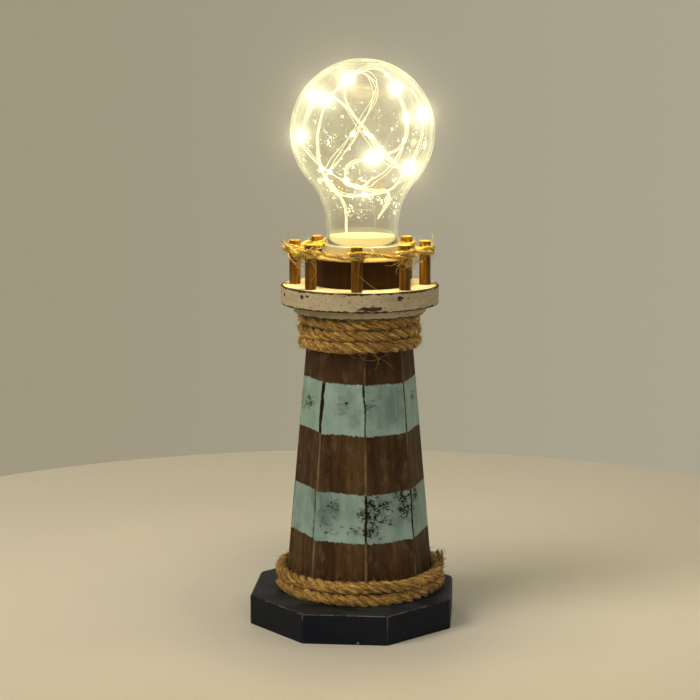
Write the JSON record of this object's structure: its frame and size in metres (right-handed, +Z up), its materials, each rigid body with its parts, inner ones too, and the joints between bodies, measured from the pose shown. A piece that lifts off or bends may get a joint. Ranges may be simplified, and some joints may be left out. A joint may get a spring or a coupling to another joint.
{
  "type": "garden lighthouse ornament",
  "caption": "Wooden lighthouse ornament on an octagonal plinth, with rope bands, a lashed gallery rail and a lift-out battery lit bulb.",
  "frame": {"origin": "middle of the plinth's underside", "axes": "+Z up the tower, -Y towards the front, the plinth's flats square to X and Y"},
  "size_m": [0.086, 0.086, 0.24],
  "materials": {
    "plinth_paint": "navy-black chalk paint, worn at the edges",
    "tower_wood": "dark brown stain with two duck-egg blue painted bands, sanded edges",
    "plain_wood": "bare wood",
    "deck_paint": "white chalk paint, distressed",
    "cup_wood": "dark brown stain",
    "post_wood": "brown stain",
    "twine": "jute twine",
    "rope": "three strand jute rope",
    "bulb_glass": "clear",
    "holder_plastic": "white moulded plastic",
    "cell_steel": "nickel plated steel can",
    "contact_plate": "nickel plated spring steel",
    "screw_steel": "zinc plated",
    "switch_plastic": "black moulded plastic",
    "wire_silver": "lacquered silver wire",
    "bead_resin": "clear resin over a warm white light"
  },
  "bodies": {
    "lighthouse": {"plinth": "plinth_paint", "plinth_screw_1": "screw_steel", "plinth_screw_2": "screw_steel", "tower": "tower_wood", "gallery_dowel": "plain_wood", "under_deck": "deck_paint", "gallery_deck": "deck_paint", "lantern_cup": "cup_wood", "rail_post_1": "post_wood", "rail_post_2": "post_wood", "rail_post_3": "post_wood", "rail_post_4": "post_wood", "rail_post_5": "post_wood", "rail_post_6": "post_wood", "rail_post_7": "post_wood", "rail_post_8": "post_wood", "rail_twine": "twine", "neck_rope": "rope", "foot_rope": "rope"},
    "bulb_unit": {"bulb_envelope": "bulb_glass", "battery_holder": "holder_plastic", "battery_cover": "holder_plastic", "cover_screw": "screw_steel", "button_cell_1": "cell_steel", "button_cell_2": "cell_steel", "button_cell_3": "cell_steel", "lower_contact": "contact_plate", "upper_contact": "contact_plate", "switch_body": "switch_plastic", "led_wire": "wire_silver", "led_beads": "bead_resin"},
    "switch_knob": {"switch_knob": "switch_plastic"}
  },
  "joints": [
    {"name": "bulb_lift", "type": "slide", "parent": "lighthouse", "child": "bulb_unit", "axis": [0, 0, 1], "range_m": [0, 0.03]},
    {"name": "switch_slide", "type": "slide", "parent": "bulb_unit", "child": "switch_knob", "axis": [0, 1, 0], "range_m": [0, 0.002]}
  ]
}
